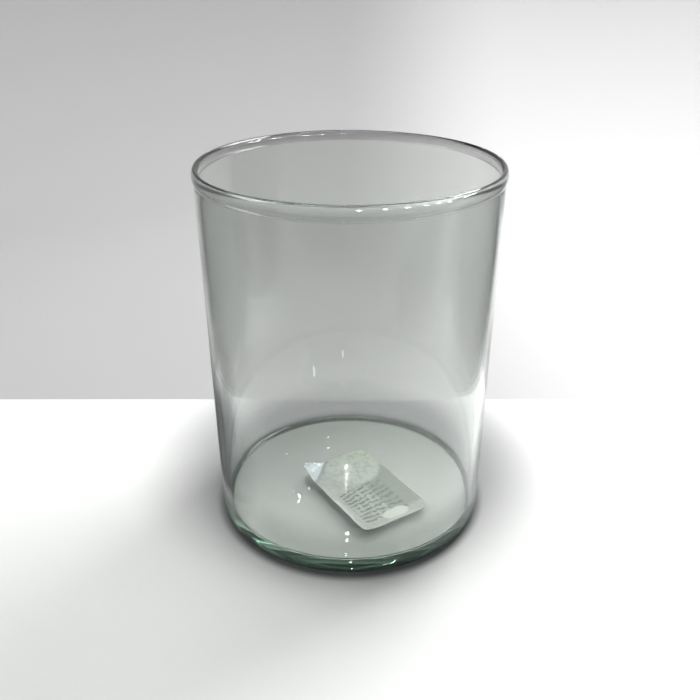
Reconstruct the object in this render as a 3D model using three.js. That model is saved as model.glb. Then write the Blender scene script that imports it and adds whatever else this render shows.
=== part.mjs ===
// Glass cylinder vase: a one-piece glass vessel with a label on its inner floor.
// Millimetres, +Z up. The origin is on the vessel's axis, at the plane the foot stands on.
import * as THREE from "three";
import { mergeVertices } from "three/addons/utils/BufferGeometryUtils.js";

// ---- Vessel ----
const HEIGHT = 153;
const RIM_RADIUS = 60; // outside of the rim bead
const BEAD_HEIGHT = 5.4;
const BEAD_OUT = 0.7; // how far the bead stands out of the wall
const BEAD_IN = 0.2; // and how far into the mouth
const FOOT_WALL_RADIUS = 58; // outside of the wall, just above the heel
const WALL_AT_RIM = 2;
const WALL_AT_FOOT = 2.7;
const HEEL_RADIUS = 3.6;
const FLOOR_Z = 6.4; // top of the base
const FLOOR_FILLET = 2.2; // between the inner floor and the wall
const FOOT_RING_WIDTH = 4; // the flat ring that the vase stands on
const KICK = 1.2; // how far the middle of the hollow underside is raised
const RADIAL_SEGMENTS = 72;
const CORNER_STEPS = 5; // straight pieces to each rounded corner
const BEAD_STEPS = 9;
const UNDERSIDE_STEPS = 6;

const GLASS_COLOUR = 0xdfe9e3;

// ---- Label ----
const LABEL_WIDTH = 35;
const LABEL_HEIGHT = 53;
const SHARP_CORNER = 1.5; // radius of the label's lower left corner
const ROUND_CORNER = 5; // and of its other three
const LABEL_CENTRE = [5.7, -7.4];
const LABEL_TURN = THREE.MathUtils.degToRad(33);
const LABEL_GAP = 0.3; // left under the adhesive and under the film
const ADHESIVE_THICKNESS = 0.2;
const ADHESIVE_INSET = 1;
const FILM_THICKNESS = 0.3;
const FREE_EDGE = 9; // width of the lifted strip, along the label's left edge
const EDGE_LIFT = 1.9;
const CORNER_REACH = 12.5; // how far the fold reaches from the label's upper left corner
const CORNER_LIFT = 5;
const FILM_COLUMNS = 14;
const FILM_ROWS = 20;

const FILM_COLOUR = 0xd9dfd9;
const ADHESIVE_COLOUR = 0xc9cdb8;

/** Points along part of an ellipse, from one angle to another, both ends included. */
function arc(centreR, centreZ, radiusR, radiusZ, fromAngle, toAngle, steps) {
  const points = [];
  for (let i = 0; i <= steps; i++) {
    const angle = fromAngle + ((toAngle - fromAngle) * i) / steps;
    const r = centreR + radiusR * Math.cos(angle);
    const z = centreZ + radiusZ * Math.sin(angle);
    points.push(new THREE.Vector2(r, z));
  }
  return points;
}

/** The underside from the axis out: a shallow dome and the flat foot ring. */
function underside(ringOuter) {
  const ringInner = ringOuter - FOOT_RING_WIDTH;
  const points = [];
  for (let i = 0; i <= UNDERSIDE_STEPS; i++) {
    const share = i / UNDERSIDE_STEPS;
    points.push(new THREE.Vector2(ringInner * share, KICK * (1 - share ** 2)));
  }
  points.push(new THREE.Vector2(ringOuter, 0));
  return points;
}

/** The glass in section, from the axis underneath, up the outside, over the rim and down to the floor. */
function vesselProfile() {
  const quarter = Math.PI / 2;
  const beadFrom = -Math.PI / 3; // where the bead's ellipse meets the outer wall
  const beadTo = (7 * Math.PI) / 6; // and the inner wall
  const beadBottom = HEIGHT - BEAD_HEIGHT;
  const wallOuterAtRim = RIM_RADIUS - BEAD_OUT;
  const wallInnerAtRim = wallOuterAtRim - WALL_AT_RIM;
  const wallInnerAtFoot = FOOT_WALL_RADIUS - WALL_AT_FOOT;
  const beadInner = wallInnerAtRim - BEAD_IN;
  const beadCentre = (RIM_RADIUS + beadInner) / 2;
  const beadHalfWidth = (RIM_RADIUS - beadInner) / 2;
  const beadHalfHeight = BEAD_HEIGHT / 2;
  const beadMiddle = HEIGHT - beadHalfHeight;
  const heelCentre = FOOT_WALL_RADIUS - HEEL_RADIUS;
  const filletCentre = wallInnerAtFoot - FLOOR_FILLET;
  const filletTop = FLOOR_Z + FLOOR_FILLET;
  return [
    ...underside(heelCentre),
    ...arc(heelCentre, HEEL_RADIUS, HEEL_RADIUS, HEEL_RADIUS, -quarter, 0, CORNER_STEPS).slice(1),
    new THREE.Vector2(wallOuterAtRim, beadBottom),
    ...arc(beadCentre, beadMiddle, beadHalfWidth, beadHalfHeight, beadFrom, beadTo, BEAD_STEPS),
    ...arc(filletCentre, filletTop, FLOOR_FILLET, FLOOR_FILLET, 0, -quarter, CORNER_STEPS),
    new THREE.Vector2(0, FLOOR_Z),
  ];
}

/** How high the film's free edge and folded corner stand off the glass, at a place from its centre. */
function lift(x, y) {
  const fromEdge = x + LABEL_WIDTH / 2;
  const fromTop = LABEL_HEIGHT / 2 - y;
  const edge = Math.max(0, 1 - fromEdge / FREE_EDGE);
  const corner = Math.max(0, 1 - (fromEdge + fromTop) / CORNER_REACH);
  return EDGE_LIFT * edge ** 2 + (CORNER_LIFT - EDGE_LIFT) * corner;
}

/** Pulls a point of the label's rectangle in, where the rounded corners leave it outside. */
function insideRoundedCorners(x, y) {
  const radius = x < 0 && y < 0 ? SHARP_CORNER : ROUND_CORNER;
  const innerX = LABEL_WIDTH / 2 - radius;
  const innerY = LABEL_HEIGHT / 2 - radius;
  const overX = Math.abs(x) - innerX;
  const overY = Math.abs(y) - innerY;
  if (overX <= 0 || overY <= 0) return [x, y];
  const shrink = Math.max(overX, overY) / Math.hypot(overX, overY);
  return [Math.sign(x) * (innerX + overX * shrink), Math.sign(y) * (innerY + overY * shrink)];
}

/** A rectangle's outline with rounded corners, centred on x and y. */
function roundedRectangle(width, height, radius, x, y) {
  const quarter = Math.PI / 2;
  const outline = new THREE.Shape();
  const sides = [[1, -1], [1, 1], [-1, 1], [-1, -1]];
  sides.forEach(([sideX, sideY], i) => {
    const cornerX = x + sideX * (width / 2 - radius);
    const cornerY = y + sideY * (height / 2 - radius);
    outline.absarc(cornerX, cornerY, radius, (i - 1) * quarter, i * quarter, false);
  });
  outline.closePath();
  return outline;
}

/** Leaves only position on a geometry and joins the vertices that lie together. */
function joined(geometry) {
  geometry.deleteAttribute("normal");
  geometry.deleteAttribute("uv");
  return mergeVertices(geometry);
}

/** A named mesh with smooth normals and its own material. */
function piece(name, geometry, look) {
  geometry.computeVertexNormals();
  const mesh = new THREE.Mesh(geometry, new THREE.MeshStandardMaterial(look));
  mesh.name = name;
  return mesh;
}

function glassVessel() {
  const turned = new THREE.LatheGeometry(vesselProfile(), RADIAL_SEGMENTS);
  turned.rotateX(Math.PI / 2);
  const look = { color: GLASS_COLOUR, roughness: 0.02, metalness: 0, transparent: true, opacity: 0.35 };
  return piece("glass_vessel", joined(turned), look);
}

function labelFilm() {
  const slab = new THREE.BoxGeometry(
    LABEL_WIDTH, LABEL_HEIGHT, FILM_THICKNESS, FILM_COLUMNS, FILM_ROWS, 1,
  );
  const film = joined(slab);
  const points = film.attributes.position;
  for (let i = 0; i < points.count; i++) {
    const [x, y] = insideRoundedCorners(points.getX(i), points.getY(i));
    points.setXYZ(i, x, y, points.getZ(i) + lift(x, y));
  }
  const mesh = piece("label_film", film, { color: FILM_COLOUR, roughness: 0.35, metalness: 0 });
  mesh.position.z = LABEL_GAP + ADHESIVE_THICKNESS + LABEL_GAP + FILM_THICKNESS / 2;
  return mesh;
}

function labelAdhesive() {
  const width = LABEL_WIDTH - FREE_EDGE - ADHESIVE_INSET;
  const height = LABEL_HEIGHT - 2 * ADHESIVE_INSET;
  const middle = (FREE_EDGE - ADHESIVE_INSET) / 2;
  const outline = roundedRectangle(width, height, ROUND_CORNER - ADHESIVE_INSET, middle, 0);
  const layer = new THREE.ExtrudeGeometry(outline, {
    depth: ADHESIVE_THICKNESS,
    bevelEnabled: false,
    curveSegments: CORNER_STEPS,
  });
  const look = { color: ADHESIVE_COLOUR, roughness: 0.6, metalness: 0 };
  const mesh = piece("label_adhesive", joined(layer), look);
  mesh.position.z = LABEL_GAP;
  return mesh;
}

const label = new THREE.Group();
label.position.set(...LABEL_CENTRE, FLOOR_Z);
label.rotation.z = LABEL_TURN;
label.add(labelFilm(), labelAdhesive());

const vase = new THREE.Group();
vase.add(glassVessel(), label);

export default vase;
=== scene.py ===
"""Glass cylinder vase: fine surfaces, materials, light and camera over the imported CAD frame."""
import math

import bpy
from mathutils import Matrix, Vector, noise


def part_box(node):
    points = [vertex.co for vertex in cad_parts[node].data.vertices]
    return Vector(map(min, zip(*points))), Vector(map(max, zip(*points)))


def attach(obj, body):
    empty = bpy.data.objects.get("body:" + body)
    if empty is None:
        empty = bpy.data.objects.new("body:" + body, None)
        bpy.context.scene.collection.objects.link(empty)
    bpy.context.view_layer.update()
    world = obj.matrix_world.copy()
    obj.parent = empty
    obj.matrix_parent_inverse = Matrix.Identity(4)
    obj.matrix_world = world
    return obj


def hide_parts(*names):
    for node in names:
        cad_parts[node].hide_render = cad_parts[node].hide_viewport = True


MM = 0.001
QUARTER = math.pi / 2

# ---- Vessel, in mm ----
BEAD_HEIGHT = 5.4
BEAD_OUT = 0.7
BEAD_IN = 0.2
BEAD_FROM = -math.pi / 3  # where the bead's ellipse meets the outer wall
BEAD_TO = 7 * math.pi / 6  # and the inner wall
FOOT_WALL_RADIUS = 58.0
WALL_AT_RIM = 2.0
WALL_AT_FOOT = 2.7
WALL_LEAN = 0.006  # how far the middle of the wall leans out for each mm of height
HEEL_RADIUS = 3.6
FLOOR_Z = 6.4
FLOOR_FILLET = 2.2
FOOT_RING_WIDTH = 4.0
KICK = 1.2  # how far the middle of the hollow underside is raised
RIM_SAG = 0.16  # how far a fire-polished rim dips from its highest places
RIM_SAG_MEAN = 0.5  # share of that dip at an average place
RIM_WAVES = ((0.3, 2, 0.6), (0.2, 5, 1.9))  # share of the dip, number round the rim, start
BEAD_UNEVEN = 0.3  # share by which the bead is taller in front and shorter behind
WALL_WAVER = 0.07  # unevenness of the inner wall
WAVER_SCALE = 1.7  # how close together its hollows are
WAVER_UP = 40.0  # how far up the wall counts as much as one radius across it
SEGMENTS = 256
WALL_STEPS = 60
ARC_STEPS = 14
BEAD_STEPS = 36
FLOOR_STEPS = 16

# ---- Label, in mm ----
LABEL_WIDTH = 35.0
LABEL_HEIGHT = 53.0
SHARP_CORNER = 1.5  # radius of the lower left corner
ROUND_CORNER = 5.0  # and of the other three
LABEL_CENTRE = (5.7, -7.4)
LABEL_TURN = math.radians(33)
FREE_EDGE = 9.0  # width of the lifted strip along the left edge
EDGE_LIFT = 1.9
CORNER_REACH = 12.5  # how far the fold reaches from the upper left corner
CORNER_LIFT = 5.0
CRINKLE = 0.35
CRINKLE_SCALE = 0.22
CRINKLE_PLANE = 3.1  # which plane of the noise they come from
CRINKLE_ON_FLAT = 0.06  # share of them that the stuck-down part has
CRINKLE_AT_CORNER = 2  # and the tip of the folded corner
CRUMPLE = 2.2  # height of the sharp creases in the folded corner
CRUMPLE_SCALE = 0.33
CRUMPLE_PLANE = 8.2
CRUMPLE_RISE = 4  # how soon the creases reach their full height past the fold
DEEPEST_CRINKLE = -0.2
FOLD = LABEL_WIDTH / 2 + LABEL_HEIGHT / 2 - CORNER_REACH  # y - x along the corner's fold
FILM_GAP = 0.3  # from the glass to the film's underside
FILM_THICKNESS = 0.15
ADHESIVE_GAP = 0.03
ADHESIVE_INSET = 1.0
LABEL_GRID = 0.5  # cell size of the label's meshes

# ---- Label print: places from the label's middle, in mm ----
# Ovals have a centre, half their width and height, and the softness of their edge
ROUND_PANEL = (4.5, 16.6, 13, 13, 0.1)
PANEL_GLOW = (10, 24, 8, 6, 0.6)
SMALL_OVAL = (2.2, -21.1, 6.5, 3.0, 0.15)
# Blocks have a left, right, bottom and top, and the width of their soft edge
BAR_BLOCK = (-12, 9, -21, 2, 1.5)
DARK_BLOCK = (4, 22, -18, 13, 4.0)
MARGIN_BLOCK = (-20, -15.4, -30, 8, 0.5)
ROW_PITCH = 2.9
ROW_FAN = 0.02  # how much the rows spread out towards the right
FAN_BELOW = 14  # how far below the middle the row lies that stays level
HALF_ROW = 0.5
STRIPE_EDGE = (0.05, 0.4)  # from the gap between two rows to full ink, in rows
WORD_SCALE = 0.4
WORD_EDGE = (0.38, 0.5)
WOBBLE = 2.2  # how far the print wavers up and down
WOBBLE_SCALE = 0.2
STOCK_SCALE = 0.12
SCUFF_SCALE = 0.45
SCUFF_EDGE = (0.45, 0.62)
SCUFF_STRENGTH = 0.45
FOLD_SHADOW_START = (-0.3, 0.6)  # painted shadow in a dark line beside the crease, from the flap's side
FOLD_SHADOW_END = (0.6, 3.5)
# Where the flap's painted highlight starts
FLAP_LIT_EDGE = (-0.5, 0.3)
STOCK_DARK = (0.30, 0.345, 0.305, 1)
STOCK_PALE = (0.385, 0.415, 0.375, 1)
DARK_COLOUR = (0.205, 0.25, 0.205, 1)
MARGIN_COLOUR = (0.43, 0.46, 0.43, 1)
PANEL_COLOUR = (0.42, 0.47, 0.405, 1)
GLOW_COLOUR = (0.41, 0.48, 0.375, 1)
BAR_COLOUR = (0.085, 0.12, 0.09, 1)
SCUFF_COLOUR = (0.22, 0.27, 0.23, 1)
OVAL_COLOUR = (0.50, 0.545, 0.49, 1)
# Painted shadow along the corner's crease
FOLD_SHADOW_COLOUR = (0.22, 0.28, 0.25, 1)
# Painted highlight: the lifted flap paler where it catches the light, on the film's bluish tone
FLAP_LIT_COLOUR = (0.54, 0.63, 0.64, 1)
GLUE_DARK = (0.34, 0.36, 0.30, 1)
GLUE_PALE = (0.56, 0.57, 0.48, 1)

# ---- Surfaces: noise scales per mm on each axis, and bumps as a distance in metres and a strength ----
MIDDLE_OF_NOISE = (0.3, 0.7)  # where most of a noise's values lie
FILM_IOR = 1.48
FILM_CREASES = (0.5, 0.16, 0.5)
FILM_ROUGHNESS = (0.3, 0.5)
FILM_BUMP = (0.0001, 0.5)
COAT_ROUGHNESS = 0.04
COAT_RIPPLES = (0.1, 0.75, 0.1)
COAT_RIPPLED = (12, -6)  # x + y in mm, where the ripples start and where they are full
COAT_RIPPLES_LEAST = 0.04
COAT_BUMP = (0.00003, 1.0)
GLUE_BUBBLES = (0.8, 0.8, 0.8)
GLUE_ROUGHNESS = (0.35, 0.6)
GLUE_BUMP = (0.0002, 0.4)
GLASS_IOR = 1.52
GLASS_RIPPLES = (0.06, 0.06, 0.012)
GLASS_CORDS = (0.25, 0.25, 0.03)
CORD_SHARE = 0.12
GLASS_SMUDGES = (0.05, 0.05, 0.05)
SMUDGE_EDGE = (0.55, 0.75)
GLASS_ROUGHNESS = (0.0, 0.05)
GLASS_BUMP = (0.0006, 0.05)
GLASS_DEPTH_COLOUR = (0.36, 0.60, 0.48, 1)
GLASS_DENSITY = 15.0
PAPER_GRAIN = 0.4
PAPER_ROUGHNESS = (0.7, 0.85)
PAPER_BUMP = (0.0002, 0.2)

# ---- Glass: tints that paint shade into it, and where they start and end in mm ----
WHITE = (1, 1, 1, 1)
# Painted shade: the wall greyed above its middle
WALL_SHADE_TINT = (0.74, 0.75, 0.735, 1)
WALL_SHADE_HEIGHTS = (30, 100)
# Painted shade low on the wall, and faintly in the base
LOW_WALL_SHADE_TINT = (0.72, 0.73, 0.72, 1)
BASE_SHADE_TINT = (0.92, 0.925, 0.915, 1)
BASE_RADII = (53.5, 55)
LOW_SHADE_HEIGHTS = (12, 30)
# Painted shade: the heel darkened nearly to black, green as thick glass
HEEL_SHADE_TINT = (0.02, 0.045, 0.032, 1)
HEEL_RADII = (54.5, 57)
HEEL_HEIGHTS = (3, 10)
# Painted shade on the top of the bead, and painted light, less dark, on its front
BEAD_SHADE_TINT = (0.36, 0.34, 0.36, 1)
BEAD_HEIGHTS = (148.5, 152)
BEAD_FRONT_LIT_TINT = (0.78, 0.80, 0.78, 1)
BEAD_FRONT = (-50, -15)  # along Y

# ---- Stage: greys, some of them painted light and shade, and where they start and end in mm ----
TABLE_EDGE = 83.0  # where the pale table under the vase ends, behind it
TABLE_EDGE_SOFT = 0.6
# Painted light: the table shaded on the left and lit on the right
TABLE_SHADED_LEFT = (0.62, 0.63, 0.62, 1)
TABLE_LIT_RIGHT = (0.82, 0.83, 0.82, 1)
TABLE_ACROSS = (-260, 260)
FRONT_GREY = (0.36, 0.36, 0.36, 1)
FRONT_FROM = (-260, -130)  # along Y
SHADE_GREY = (0.29, 0.29, 0.295, 1)
SHADE_CENTRE = (0, 32, 0)
SHADE_RADII = (58, 112)
# Painted contact shadow round the edge of the foot
CONTACT_SHADOW_GREY = (0.16, 0.16, 0.16, 1)
CONTACT_SHADOW_RADII = (57, 62)
# Painted light: the paper whitened under the foot, for light that comes through the base
UNDER_FOOT_LIGHT_WHITE = (1, 1, 0.98, 1)
UNDER_FOOT_LIGHT_RADII = (54.5, 56)
# Painted light: the grey behind shaded on the left and lit on the right
BEHIND_SHADED_LEFT = (0.36, 0.36, 0.36, 1)
BEHIND_LIT_RIGHT = (0.55, 0.55, 0.55, 1)
BEHIND_ACROSS = (-20, 180)
SWEEP_REACH = 700.0
SWEEP_COVE = 220.0
SWEEP_WALL = 640.0
SWEEP_DROP = 0.02  # keeps the paper clear of the foot
SWEEP_SEGMENTS = 96
COVE_STEPS = 24

# ---- Camera ----
CAMERA_BACK = 304.0
CAMERA_HEIGHT = 225.0
CAMERA_PITCH = math.radians(26.64)
CAMERA_LENS = 41.09
SENSOR = 36.0
NEAREST = 0.01  # in metres

# ---- Lights ----
AIM_HEIGHT = 70.0
# Soft square lamps: name, azimuth, elevation, distance and size in mm, and power in W
SOFT_LAMPS = (
    ("key", 42, 50, 900, 380, 8.3),
    ("top", -10, 78, 900, 600, 5.2),
    ("side", -65, 55, 900, 400, 2.0),
    ("fill", 190, 35, 1000, 700, 0.6),
)
# Dark cards: name, azimuth, distance from the axis, height of the middle, radius and grey
FLAGS = (
    ("flag_left", -80, 160, 85, 130, 0.12),
    ("flag_right", 80, 160, 85, 130, 0.12),
    ("flag_foot", -88, 68, 20, 60, 0.34),
)
FLAG_SOLID = 0.4  # share of a card's radius that is quite dark
FLAG_ROUGHNESS = 0.9
SKY_COLOUR = (1.0, 1.0, 0.99, 1)
SKY_STRENGTH = 0.22
LAMP_DISTANCE = 600.0  # of the small lamps, from the middle of the vase's foot
LAMP_SIDES = 20
# Lamps behind the vase, mirrored in its floor: azimuth, elevation, width and height in degrees
CEILING_LAMPS = (
    (-3.3, 31.5, 0.20, 0.24),
    (-3.3, 32.7, 0.16, 0.20),
    (-6.5, 36.9, 0.36, 0.40),
    (-6.8, 37.4, 0.26, 0.30),
    (-8.6, 38.1, 0.36, 0.40),
    (-8.8, 38.6, 0.26, 0.30),
    (-9.5, 37.5, 0.16, 0.30),
    (-10.1, 33.3, 0.12, 0.12),
    (-0.5, 42.7, 0.42, 0.36),
    (-0.5, 43.3, 0.36, 0.36),
    (-0.6, 35.7, 0.34, 1.10),
    (-0.6, 37.1, 0.34, 0.24),
)
CEILING_BRIGHTNESS = 120
# Lamps in front of it and on its right, mirrored in its rim
RIM_LAMPS = (
    (174, 29.5, 4.5, 2.5),
    (157, 29.5, 4.5, 2.5),
    (142, 29.5, 5.5, 2.5),
    (129, 29.5, 3.5, 2.5),
    (119, 29.5, 3.5, 2.5),
    (111, 29.5, 3.5, 2.5),
    (96, 29.5, 5.5, 2.5),
    (88, 29.5, 3.5, 2.5),
    (82, 54, 2, 2.6),
    (70, 56, 1.5, 1.8),
    (60, 54, 2, 2.2),
)
RIM_BRIGHTNESS = 140
# Bright strips low in front of it, mirrored in its wall: place, width and height in mm
TABLE_LAMPS = (
    (-62.0, -151.0, 34.0, 3.6, 9.0),
    (-12.6, -165.0, 44.0, 3.6, 5.0),
    (-12.6, -163.0, 28.2, 2.4, 1.6),
)
TABLE_BRIGHTNESS = 5
GLINT_CLAMP = 30.0  # keeps those small lamps white in the glass
LIGHT_BOUNCES = 32  # light runs the whole width of the base, turned back by its faces again and again


def arc(centre_r, centre_z, radius_r, radius_z, start, end, steps):
    """Points along part of an ellipse, both ends included."""
    points = []
    for i in range(steps + 1):
        angle = start + (end - start) * i / steps
        points.append((centre_r + radius_r * math.cos(angle), centre_z + radius_z * math.sin(angle)))
    return points


def line(start, end, steps):
    """Points along a straight line, without either end."""
    points = []
    for i in range(1, steps):
        share = i / steps
        points.append((start[0] + (end[0] - start[0]) * share, start[1] + (end[1] - start[1]) * share))
    return points


def underside(ring_outer):
    """From the axis out: a shallow dome and the edge of the flat foot ring."""
    ring_inner = ring_outer - FOOT_RING_WIDTH
    points = []
    for i in range(FLOOR_STEPS + 1):
        share = i / FLOOR_STEPS
        points.append((ring_inner * share, KICK * (1 - share**2)))
    return points


def inner_floor(outer):
    """From the fillet in to the axis."""
    return [(outer * (1 - i / FLOOR_STEPS), FLOOR_Z) for i in range(1, FLOOR_STEPS + 1)]


def vessel_profile(radius, height):
    """The glass in section: underneath, up the outside, over the rim and down the inside."""
    outer_at_rim = radius - BEAD_OUT
    inner_at_rim = outer_at_rim - WALL_AT_RIM
    inner_at_foot = FOOT_WALL_RADIUS - WALL_AT_FOOT
    bead_inner = inner_at_rim - BEAD_IN
    bead_centre = (radius + bead_inner) / 2
    bead_half = (radius - bead_inner) / 2
    bead_middle = height - BEAD_HEIGHT / 2
    heel = FOOT_WALL_RADIUS - HEEL_RADIUS
    fillet = inner_at_foot - FLOOR_FILLET
    outside = arc(heel, HEEL_RADIUS, HEEL_RADIUS, HEEL_RADIUS, -QUARTER, 0, ARC_STEPS)
    bead = arc(bead_centre, bead_middle, bead_half, BEAD_HEIGHT / 2, BEAD_FROM, BEAD_TO, BEAD_STEPS)
    inside = arc(fillet, FLOOR_Z + FLOOR_FILLET, FLOOR_FILLET, FLOOR_FILLET, 0, -QUARTER, ARC_STEPS)
    neck = (outer_at_rim, height - BEAD_HEIGHT)
    return (
        underside(heel)
        + outside
        + line(outside[-1], neck, WALL_STEPS)
        + [neck]
        + bead
        + line(bead[-1], inside[0], WALL_STEPS)
        + inside
        + inner_floor(fillet)
    )


def handmade(r, z, angle, height):
    """Where a point of the exact vessel lies on one with an uneven rim and a wavering inner wall."""
    above = max(0.0, 1 - (height - z) / (2 * BEAD_HEIGHT))
    wave = RIM_SAG_MEAN + sum(share * math.sin(count * angle + start) for share, count, start in RIM_WAVES)
    z += (height - z) * BEAD_UNEVEN * above * math.sin(angle)
    z -= RIM_SAG * above * wave
    wall_middle = FOOT_WALL_RADIUS - WALL_AT_FOOT / 2 + z * WALL_LEAN
    if z > FLOOR_Z + FLOOR_FILLET and r < wall_middle:
        spot = Vector((math.cos(angle), math.sin(angle), z / WAVER_UP))
        r += WALL_WAVER * noise.noise(spot * WAVER_SCALE)
    return r, z


def revolve(name, profile, segments, shape):
    """A mesh turned about Z from a section in mm. shape moves each point by its angle."""
    vertices = []
    rings = []
    for r, z in profile:
        count = 1 if r == 0 else segments
        rings.append([len(vertices) + i for i in range(count)])
        for i in range(count):
            angle = 2 * math.pi * i / segments
            new_r, new_z = shape(r, z, angle)
            vertices.append((new_r * math.cos(angle) * MM, new_r * math.sin(angle) * MM, new_z * MM))
    faces = []
    for lower, upper in zip(rings, rings[1:]):
        for i in range(segments):
            corners = [
                lower[i % len(lower)],
                lower[(i + 1) % len(lower)],
                upper[(i + 1) % len(upper)],
                upper[i % len(upper)],
            ]
            faces.append(list(dict.fromkeys(corners)))
    return mesh_object(name, vertices, faces)


def mesh_object(name, vertices, faces):
    """A smooth-shaded object in the scene, from vertices in metres."""
    mesh = bpy.data.meshes.new(name)
    mesh.from_pydata(vertices, [], faces)
    mesh.validate()
    mesh.shade_smooth()
    made = bpy.data.objects.new(name, mesh)
    bpy.context.scene.collection.objects.link(made)
    return made


def lift(x, y):
    """How far the film stands off the glass at its free edge, its folded corner and their creases."""
    from_edge = x + LABEL_WIDTH / 2
    from_top = LABEL_HEIGHT / 2 - y
    edge = max(0.0, 1 - from_edge / FREE_EDGE)
    corner = max(0.0, 1 - (from_edge + from_top) / CORNER_REACH)
    crinkles = noise.noise(Vector((x * CRINKLE_SCALE, y * CRINKLE_SCALE, CRINKLE_PLANE)))
    crease = CRINKLE * crinkles * (CRINKLE_ON_FLAT + CRINKLE_AT_CORNER * corner + edge)
    crumples = abs(noise.noise(Vector((x * CRUMPLE_SCALE, y * CRUMPLE_SCALE, CRUMPLE_PLANE))))
    crease += CRUMPLE * crumples * min(1.0, CRUMPLE_RISE * corner)
    return EDGE_LIFT * edge**2 + (CORNER_LIFT - EDGE_LIFT) * corner + max(crease, DEEPEST_CRINKLE)


def rounded(x, y, half_width, half_height):
    """Pulls a point of a rectangle in, where its rounded corners leave it outside."""
    radius = SHARP_CORNER if x < 0 and y < 0 else ROUND_CORNER
    over_x = abs(x) - (half_width - radius)
    over_y = abs(y) - (half_height - radius)
    if over_x <= 0 or over_y <= 0:
        return x, y
    shrink = max(over_x, over_y) / math.hypot(over_x, over_y)
    return (
        math.copysign(half_width - radius + over_x * shrink, x),
        math.copysign(half_height - radius + over_y * shrink, y),
    )


def slab(name, centre_x, width, height, bottom_at, top_at):
    """A closed sheet in the label's own frame, between two height functions."""
    columns = round(width / LABEL_GRID)
    rows = round(height / LABEL_GRID)
    across = columns + 1
    layer = across * (rows + 1)
    vertices = []
    for height_at in (bottom_at, top_at):
        for row in range(rows + 1):
            for column in range(across):
                x = width * (column / columns - 0.5)
                y = height * (row / rows - 0.5)
                x, y = rounded(x, y, width / 2, height / 2)
                x += centre_x
                vertices.append((x * MM, y * MM, height_at(x, y) * MM))
    faces = []
    for row in range(rows):
        for column in range(columns):
            a = row * across + column
            faces.append((a, a + across, a + across + 1, a + 1))
            faces.append((layer + a, layer + a + 1, layer + a + across + 1, layer + a + across))
    border = list(range(columns))
    border += [row * across + columns for row in range(rows)]
    border += [rows * across + column for column in range(columns, 0, -1)]
    border += [row * across for row in range(rows, 0, -1)]
    for start, end in zip(border, border[1:] + border[:1]):
        faces.append((start, end, layer + end, layer + start))
    made = mesh_object(name, vertices, faces)
    place = Matrix.Translation((LABEL_CENTRE[0] * MM, LABEL_CENTRE[1] * MM, FLOOR_Z * MM))
    made.matrix_world = place @ Matrix.Rotation(LABEL_TURN, 4, "Z")
    return made


class Tree:
    """A new material and short ways to add and link its nodes."""

    def __init__(self, name):
        self.material = bpy.data.materials.new(name)
        self.material.use_nodes = True
        self.nodes = self.material.node_tree.nodes
        self.nodes.clear()
        self.output = self.nodes.new("ShaderNodeOutputMaterial")

    def put(self, socket, value):
        """Sets a socket to a plain value or links another socket into it."""
        if isinstance(value, bpy.types.NodeSocket):
            self.material.node_tree.links.new(value, socket)
        else:
            socket.default_value = value

    def node(self, kind, inputs=None, **settings):
        """A node with its settings and its inputs, by name or number."""
        made = self.nodes.new(kind)
        for key, value in settings.items():
            setattr(made, key, value)
        for key, value in (inputs or {}).items():
            self.put(made.inputs[key], value)
        return made

    def math(self, operation, *values):
        """A sum or other operation on numbers."""
        made = self.node("ShaderNodeMath", operation=operation)
        for socket, value in zip(made.inputs, values):
            self.put(socket, value)
        return made.outputs[0]

    def vector(self, operation, first, second, output="Vector"):
        """An operation on two vectors."""
        inputs = {0: first, 1: second}
        return self.node("ShaderNodeVectorMath", inputs, operation=operation).outputs[output]

    def noise(self, coordinates, scale, detail=2.0, roughness=0.5):
        inputs = {"Vector": coordinates, "Scale": scale, "Detail": detail, "Roughness": roughness}
        return self.node("ShaderNodeTexNoise", inputs).outputs["Fac"]

    def between(self, value, low, high, to_low=0.0, to_high=1.0):
        """value from low to high, smoothly mapped to the range from to_low to to_high."""
        inputs = {"Value": value, 1: low, 2: high, 3: to_low, 4: to_high}
        return self.node("ShaderNodeMapRange", inputs, interpolation_type="SMOOTHSTEP").outputs[0]

    def below(self, value, low, high):
        """1 where value is under low, 0 where it is over high, and smooth between them."""
        return self.between(value, low, high, 1.0, 0.0)

    def mix(self, factor, first, second):
        """A mix of two colours."""
        made = self.node("ShaderNodeMix", data_type="RGBA")
        self.put(made.inputs[0], factor)
        self.put(made.inputs[6], first)
        self.put(made.inputs[7], second)
        return made.outputs[2]

    def stretched(self, scale):
        """The object's own coordinates in mm, stretched by a scale on each axis."""
        place = self.node("ShaderNodeTexCoord").outputs["Object"]
        return self.vector("MULTIPLY", place, tuple(s / MM for s in scale))

    def place(self):
        """The object's own coordinates in mm."""
        return self.stretched((1, 1, 1))

    def axes(self, vector):
        """The X, Y and Z of a vector."""
        return self.node("ShaderNodeSeparateXYZ", {0: vector}).outputs

    def distance(self, place, centre):
        return self.vector("DISTANCE", place, centre, "Value")

    def bump(self, height, distance, strength):
        inputs = {"Height": height, "Distance": distance, "Strength": strength}
        return self.node("ShaderNodeBump", inputs).outputs["Normal"]

    def surface(self, inputs):
        """The Principled shader of the material, linked to its output."""
        shader = self.node("ShaderNodeBsdfPrincipled", inputs)
        self.put(self.output.inputs["Surface"], shader.outputs[0])
        return self.material


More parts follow.
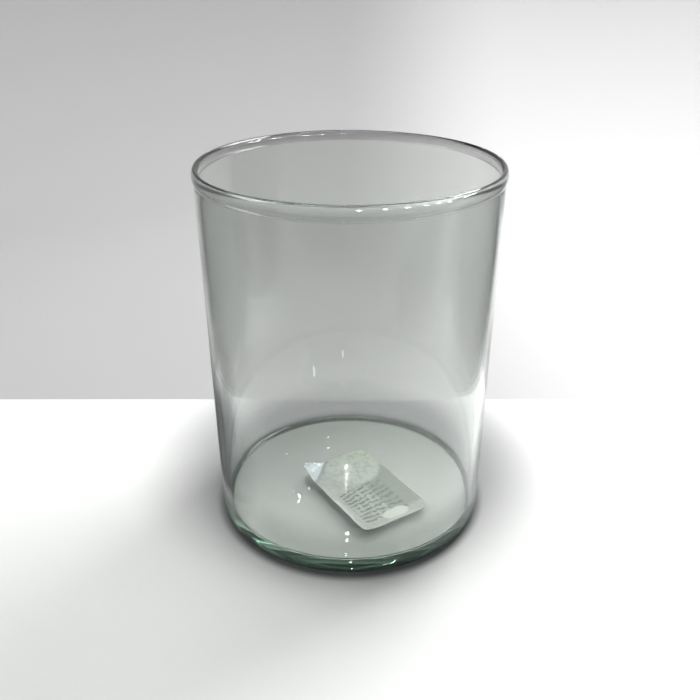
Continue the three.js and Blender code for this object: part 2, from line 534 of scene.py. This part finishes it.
def glass_shade_tint(tree):
    """Painted shade in the glass's colour: grey up the wall and low on it, dark green at the heel, dark on
    the bead and nearly clear in the base.
    """
    place = tree.place()
    axes = tree.axes(place)
    y, z = axes[1], axes[2]
    radius = tree.distance(tree.vector("MULTIPLY", place, (1, 1, 0)), (0, 0, 0))
    # where the heel's painted shade goes
    heel = tree.math("MULTIPLY", tree.between(radius, *HEEL_RADII), tree.below(z, *HEEL_HEIGHTS))
    # painted shade low on the wall, faint in the base
    low = tree.mix(tree.between(radius, *BASE_RADII), BASE_SHADE_TINT, LOW_WALL_SHADE_TINT)
    # the bead's painted shade, lighter in front
    bead = tree.mix(tree.between(y, *BEAD_FRONT), BEAD_FRONT_LIT_TINT, BEAD_SHADE_TINT)
    # painted shade up the wall
    tint = tree.mix(tree.between(z, *WALL_SHADE_HEIGHTS), WHITE, WALL_SHADE_TINT)
    tint = tree.mix(tree.below(z, *LOW_SHADE_HEIGHTS), tint, low)
    tint = tree.mix(heel, tint, HEEL_SHADE_TINT)
    return tree.mix(tree.between(z, *BEAD_HEIGHTS), tint, bead)


def glass_material():
    """Soda-lime glass, faintly green in depth: slow ripples, fine cords and a few dull smudges."""
    tree = Tree("vase_glass")
    ripples = tree.noise(tree.stretched(GLASS_RIPPLES), 1.0, detail=1.0)
    cords = tree.noise(tree.stretched(GLASS_CORDS), 1.0, detail=1.0)
    height = tree.math("ADD", ripples, tree.math("MULTIPLY", cords, CORD_SHARE))
    smudges = tree.noise(tree.stretched(GLASS_SMUDGES), 1.0, detail=6.0, roughness=0.7)
    depth_inputs = {"Color": GLASS_DEPTH_COLOUR, "Density": GLASS_DENSITY}
    depth = tree.node("ShaderNodeVolumeAbsorption", depth_inputs)
    tree.put(tree.output.inputs["Volume"], depth.outputs[0])
    return tree.surface(
        {
            "Base Color": glass_shade_tint(tree),
            "Roughness": tree.between(smudges, *SMUDGE_EDGE, *GLASS_ROUGHNESS),
            "IOR": GLASS_IOR,
            "Transmission Weight": 1.0,
            "Normal": tree.bump(height, *GLASS_BUMP),
        }
    )


def oval(tree, x, y, centre_x, centre_y, half_width, half_height, soft):
    """1 inside an oval and 0 outside it."""
    across = tree.math("DIVIDE", tree.math("SUBTRACT", x, centre_x), half_width)
    along = tree.math("DIVIDE", tree.math("SUBTRACT", y, centre_y), half_height)
    squares = tree.math("ADD", tree.math("POWER", across, 2), tree.math("POWER", along, 2))
    return tree.below(tree.math("SQRT", squares), 1 - soft, 1 + soft)


def block(tree, x, y, left, right, bottom, top, soft):
    """1 inside a rectangle and 0 outside it."""
    inside = tree.between(x, left - soft, left)
    for side in (
        tree.below(x, right, right + soft),
        tree.between(y, bottom - soft, bottom),
        tree.below(y, top, top + soft),
    ):
        inside = tree.math("MULTIPLY", inside, side)
    return inside


def print_bars(tree, x, y):
    """Rows of plain broken bars, which fan out a little to the right."""
    fan = tree.math("MULTIPLY", tree.math("MULTIPLY", x, ROW_FAN), tree.math("ADD", y, FAN_BELOW))
    row = tree.math("DIVIDE", tree.math("SUBTRACT", y, fan), ROW_PITCH)
    stripe = tree.between(tree.math("PINGPONG", row, HALF_ROW), *STRIPE_EDGE)
    row_number = tree.math("FLOOR", tree.math("ADD", row, HALF_ROW))
    word_inputs = {0: tree.math("MULTIPLY", x, WORD_SCALE), 1: row_number}
    word_place = tree.node("ShaderNodeCombineXYZ", word_inputs).outputs[0]
    words = tree.between(tree.noise(word_place, 1.0, detail=0.0), *WORD_EDGE)
    broken = tree.math("MULTIPLY", stripe, words)
    return tree.math("MULTIPLY", broken, block(tree, x, y, *BAR_BLOCK))


def print_place(tree, place):
    """X and Y on the label, with Y wavering so that the print isn't quite straight."""
    axes = tree.axes(place)
    wobble = tree.math("MULTIPLY", tree.noise(place, WOBBLE_SCALE, detail=1.0), WOBBLE)
    return axes[0], tree.math("ADD", axes[1], wobble)


def print_colour(tree, place, x, y):
    """The print on grey-green stock, with scuffs, a painted shadow in a dark line at the corner's crease
    and a paler flap painted as a highlight.
    """
    from_fold = tree.math("ADD", tree.math("SUBTRACT", x, y), FOLD)
    # painted shadow beside the corner's crease
    fold_shadow = tree.math("MULTIPLY", tree.between(from_fold, *FOLD_SHADOW_START), tree.below(from_fold, *FOLD_SHADOW_END))
    scuffs = tree.between(tree.noise(place, SCUFF_SCALE, detail=3.0), *SCUFF_EDGE)
    layers = (
        (block(tree, x, y, *DARK_BLOCK), DARK_COLOUR),
        (block(tree, x, y, *MARGIN_BLOCK), MARGIN_COLOUR),
        (oval(tree, x, y, *ROUND_PANEL), PANEL_COLOUR),
        (oval(tree, x, y, *PANEL_GLOW), GLOW_COLOUR),
        (print_bars(tree, x, y), BAR_COLOUR),
        (tree.math("MULTIPLY", scuffs, SCUFF_STRENGTH), SCUFF_COLOUR),
        (oval(tree, x, y, *SMALL_OVAL), OVAL_COLOUR),
        (fold_shadow, FOLD_SHADOW_COLOUR),
        # the flap, painted paler as a highlight
        (tree.below(from_fold, *FLAP_LIT_EDGE), FLAP_LIT_COLOUR),
    )
    colour = tree.mix(tree.noise(place, STOCK_SCALE, detail=3.0), STOCK_DARK, STOCK_PALE)
    for mask, layer in layers:
        colour = tree.mix(mask, colour, layer)
    return colour


def coat_ripples(tree, place, x, y):
    """Ripples in the film's gloss, which lie across the view. The label's lower left has most of them."""
    turned = tree.node("ShaderNodeMapping", {"Vector": place, "Rotation": (0, 0, LABEL_TURN)})
    flattened = tree.node("ShaderNodeMapping", {"Vector": turned.outputs[0], "Scale": COAT_RIPPLES})
    share = tree.between(tree.math("ADD", x, y), *COAT_RIPPLED, COAT_RIPPLES_LEAST, 1.0)
    return tree.math("MULTIPLY", tree.noise(flattened.outputs[0], 1.0, detail=2.0), share)


def film_material():
    """The label's glossy printed film."""
    tree = Tree("label_print")
    place = tree.place()
    x, y = print_place(tree, place)
    creases = tree.noise(tree.stretched(FILM_CREASES), 1.0, detail=3.0)
    return tree.surface(
        {
            "Base Color": print_colour(tree, place, x, y),
            "Roughness": tree.between(creases, *MIDDLE_OF_NOISE, *FILM_ROUGHNESS),
            "IOR": FILM_IOR,
            "Coat Weight": 1.0,
            "Coat Roughness": COAT_ROUGHNESS,
            "Coat Normal": tree.bump(coat_ripples(tree, place, x, y), *COAT_BUMP),
            "Normal": tree.bump(creases, *FILM_BUMP),
        }
    )


def adhesive_material():
    """Dull, yellowish glue with small bubbles in it."""
    tree = Tree("label_glue")
    bubbles = tree.noise(tree.stretched(GLUE_BUBBLES), 1.0, detail=4.0)
    return tree.surface(
        {
            "Base Color": tree.mix(bubbles, GLUE_DARK, GLUE_PALE),
            "Roughness": tree.between(bubbles, *MIDDLE_OF_NOISE, *GLUE_ROUGHNESS),
            "Normal": tree.bump(bubbles, *GLUE_BUMP),
        }
    )


def stage_material():
    """A pale table with a straight back edge and grey behind it. Both are painted lighter to the right,
    with a painted soft shade round the vase's foot, a painted contact shadow at its edge and painted light
    under it.
    """
    tree = Tree("sweep_paper")
    place = tree.place()
    axes = tree.axes(place)
    x, y = axes[0], axes[1]
    radius = tree.distance(place, (0, 0, 0))
    shade = tree.distance(place, SHADE_CENTRE)
    # painted light from the right
    table = tree.mix(tree.between(x, *TABLE_ACROSS), TABLE_SHADED_LEFT, TABLE_LIT_RIGHT)
    table = tree.mix(tree.below(y, *FRONT_FROM), table, FRONT_GREY)
    table = tree.mix(tree.below(shade, *SHADE_RADII), table, SHADE_GREY)
    # painted contact shadow
    table = tree.mix(tree.below(radius, *CONTACT_SHADOW_RADII), table, CONTACT_SHADOW_GREY)
    # painted light under the foot
    table = tree.mix(tree.below(radius, *UNDER_FOOT_LIGHT_RADII), table, UNDER_FOOT_LIGHT_WHITE)
    # painted light from the right
    behind = tree.mix(tree.between(x, *BEHIND_ACROSS), BEHIND_SHADED_LEFT, BEHIND_LIT_RIGHT)
    beyond = tree.between(y, TABLE_EDGE - TABLE_EDGE_SOFT, TABLE_EDGE + TABLE_EDGE_SOFT)
    grain = tree.noise(place, PAPER_GRAIN, detail=4.0)
    return tree.surface(
        {
            "Base Color": tree.mix(beyond, table, behind),
            "Roughness": tree.between(grain, *MIDDLE_OF_NOISE, *PAPER_ROUGHNESS),
            "Specular IOR Level": 0.0,
            "Normal": tree.bump(grain, *PAPER_BUMP),
        }
    )


def dress(made, node, material):
    """The finished piece stands for a CAD node and rides on the vase's one body."""
    made.data.materials.append(material)
    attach(made, "root")
    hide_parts(node)


def build_vessel():
    low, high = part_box("glass_vessel")
    radius = (high[0] - low[0]) / 2 / MM
    height = (high[2] - low[2]) / MM
    profile = vessel_profile(radius, height)
    glass = revolve("vase_body", profile, SEGMENTS, lambda r, z, angle: handmade(r, z, angle, height))
    dress(glass, "glass_vessel", glass_material())


def build_label():
    film = slab(
        "label_sheet",
        0,
        LABEL_WIDTH,
        LABEL_HEIGHT,
        lambda x, y: FILM_GAP + lift(x, y),
        lambda x, y: FILM_GAP + FILM_THICKNESS + lift(x, y),
    )
    dress(film, "label_film", film_material())
    glue = slab(
        "label_glue",
        (FREE_EDGE - ADHESIVE_INSET) / 2,
        LABEL_WIDTH - FREE_EDGE - ADHESIVE_INSET,
        LABEL_HEIGHT - 2 * ADHESIVE_INSET,
        lambda x, y: ADHESIVE_GAP,
        lambda x, y: FILM_GAP - ADHESIVE_GAP + min(0.0, lift(x, y)),
    )
    dress(glue, "label_adhesive", adhesive_material())


def build_stage():
    """A round sweep, so that every view has floor and wall behind the vase."""
    floor_edge = SWEEP_REACH - SWEEP_COVE
    profile = [(0.0, 0.0), (floor_edge, 0.0)]
    profile += arc(floor_edge, SWEEP_COVE, SWEEP_COVE, SWEEP_COVE, -QUARTER, 0, COVE_STEPS)[1:]
    profile.append((SWEEP_REACH, SWEEP_WALL))
    sweep = revolve("sweep", profile, SWEEP_SEGMENTS, lambda r, z, angle: (r, z - SWEEP_DROP))
    sweep.data.materials.append(stage_material())


def direction(azimuth, elevation):
    """Which way a lamp is from the vase. Azimuth 0 is behind the vase and 90 on its right."""
    across = math.cos(math.radians(elevation))
    return Vector(
        (
            across * math.sin(math.radians(azimuth)),
            across * math.cos(math.radians(azimuth)),
            math.sin(math.radians(elevation)),
        )
    )


def area_light(name, azimuth, elevation, distance, size, power):
    """A square soft light aimed at the middle of the vase."""
    data = bpy.data.lights.new(name, "AREA")
    data.size = size * MM
    data.energy = power
    lamp = bpy.data.objects.new(name, data)
    aim = Vector((0, 0, AIM_HEIGHT * MM))
    lamp.location = aim + direction(azimuth, elevation) * distance * MM
    lamp.rotation_euler = (lamp.location - aim).to_track_quat("Z", "Y").to_euler()
    bpy.context.scene.collection.objects.link(lamp)


def unseen(made):
    """Leaves an object of the stage only for the glass to mirror or refract."""
    made.visible_camera = False
    made.visible_diffuse = False
    made.visible_shadow = False


def glint(name, place, width, tall, brightness, through_glass):
    """A small bright oval facing the vase. Its place and size are in mm."""
    turn = place.to_track_quat("Z", "Y").to_matrix()
    angles = [2 * math.pi * i / LAMP_SIDES for i in range(LAMP_SIDES)]
    rim = [turn @ Vector((width / 2 * math.cos(a), tall / 2 * math.sin(a), 0)) for a in angles]
    disc = mesh_object(name, [(place + point) * MM for point in rim], [list(range(LAMP_SIDES))])
    tree = Tree(name)
    shine = tree.node("ShaderNodeEmission", {"Color": WHITE, "Strength": brightness})
    tree.put(tree.output.inputs["Surface"], shine.outputs[0])
    disc.data.materials.append(tree.material)
    disc.visible_transmission = through_glass
    unseen(disc)


def far_glint(name, azimuth, elevation, width, tall, brightness, through_glass):
    """A glint at the small lamps' distance. Its width and height are in degrees."""
    per_degree = LAMP_DISTANCE * math.radians(1)
    place = direction(azimuth, elevation) * LAMP_DISTANCE
    glint(name, place, width * per_degree, tall * per_degree, brightness, through_glass)


def flag(name, azimuth, from_axis, middle, reach, grey):
    """An upright dark card with soft edges beside the vase."""
    out = direction(azimuth, 0)
    side = Vector((out.y, -out.x, 0)) * reach
    centre = out * from_axis + Vector((0, 0, middle))
    up = Vector((0, 0, reach))
    corners = (centre - side - up, centre + side - up, centre + side + up, centre - side + up)
    card = mesh_object(name, [corner * MM for corner in corners], [(0, 1, 2, 3)])
    tree = Tree(name)
    away = tree.distance(tree.place(), tuple(centre))
    dark = {
        "Base Color": (grey, grey, grey, 1),
        "Roughness": FLAG_ROUGHNESS,
        "Alpha": tree.below(away, FLAG_SOLID * reach, reach),
    }
    card.data.materials.append(tree.surface(dark))
    unseen(card)


def build_lights():
    for row in FLAGS:
        flag(*row)
    for row in SOFT_LAMPS:
        area_light(*row)
    for i, lamp in enumerate(CEILING_LAMPS):
        far_glint(f"ceiling_spot_{i}", *lamp, CEILING_BRIGHTNESS, True)
    for i, lamp in enumerate(RIM_LAMPS):
        far_glint(f"rim_spot_{i}", *lamp, RIM_BRIGHTNESS, False)
    for i, (x, y, z, width, tall) in enumerate(TABLE_LAMPS):
        glint(f"table_spot_{i}", Vector((x, y, z)), width, tall, TABLE_BRIGHTNESS, False)
    world = bpy.data.worlds.new("studio")
    world.use_nodes = True
    sky = world.node_tree.nodes["Background"]
    sky.inputs["Color"].default_value = SKY_COLOUR
    sky.inputs["Strength"].default_value = SKY_STRENGTH
    bpy.context.scene.world = world


def build_camera():
    data = bpy.data.cameras.new("camera")
    data.lens = CAMERA_LENS
    data.sensor_width = SENSOR
    data.clip_start = NEAREST
    camera = bpy.data.objects.new("camera", data)
    camera.location = (0, -CAMERA_BACK * MM, CAMERA_HEIGHT * MM)
    camera.rotation_euler = (QUARTER - CAMERA_PITCH, 0, 0)
    bpy.context.scene.collection.objects.link(camera)
    bpy.context.scene.camera = camera


def set_light_paths():
    scene = bpy.context.scene
    scene.view_settings.view_transform = "Standard"
    scene.cycles.glossy_bounces = LIGHT_BOUNCES
    scene.cycles.transmission_bounces = LIGHT_BOUNCES
    scene.cycles.max_bounces = LIGHT_BOUNCES
    scene.cycles.sample_clamp_indirect = GLINT_CLAMP


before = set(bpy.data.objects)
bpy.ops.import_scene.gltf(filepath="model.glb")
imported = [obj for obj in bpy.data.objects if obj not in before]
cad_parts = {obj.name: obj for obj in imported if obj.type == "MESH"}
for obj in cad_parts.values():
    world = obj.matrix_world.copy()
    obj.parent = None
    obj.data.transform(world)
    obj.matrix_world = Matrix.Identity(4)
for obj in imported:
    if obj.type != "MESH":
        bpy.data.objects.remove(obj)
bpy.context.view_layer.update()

build_vessel()
build_label()
build_stage()
build_lights()
build_camera()
set_light_paths()
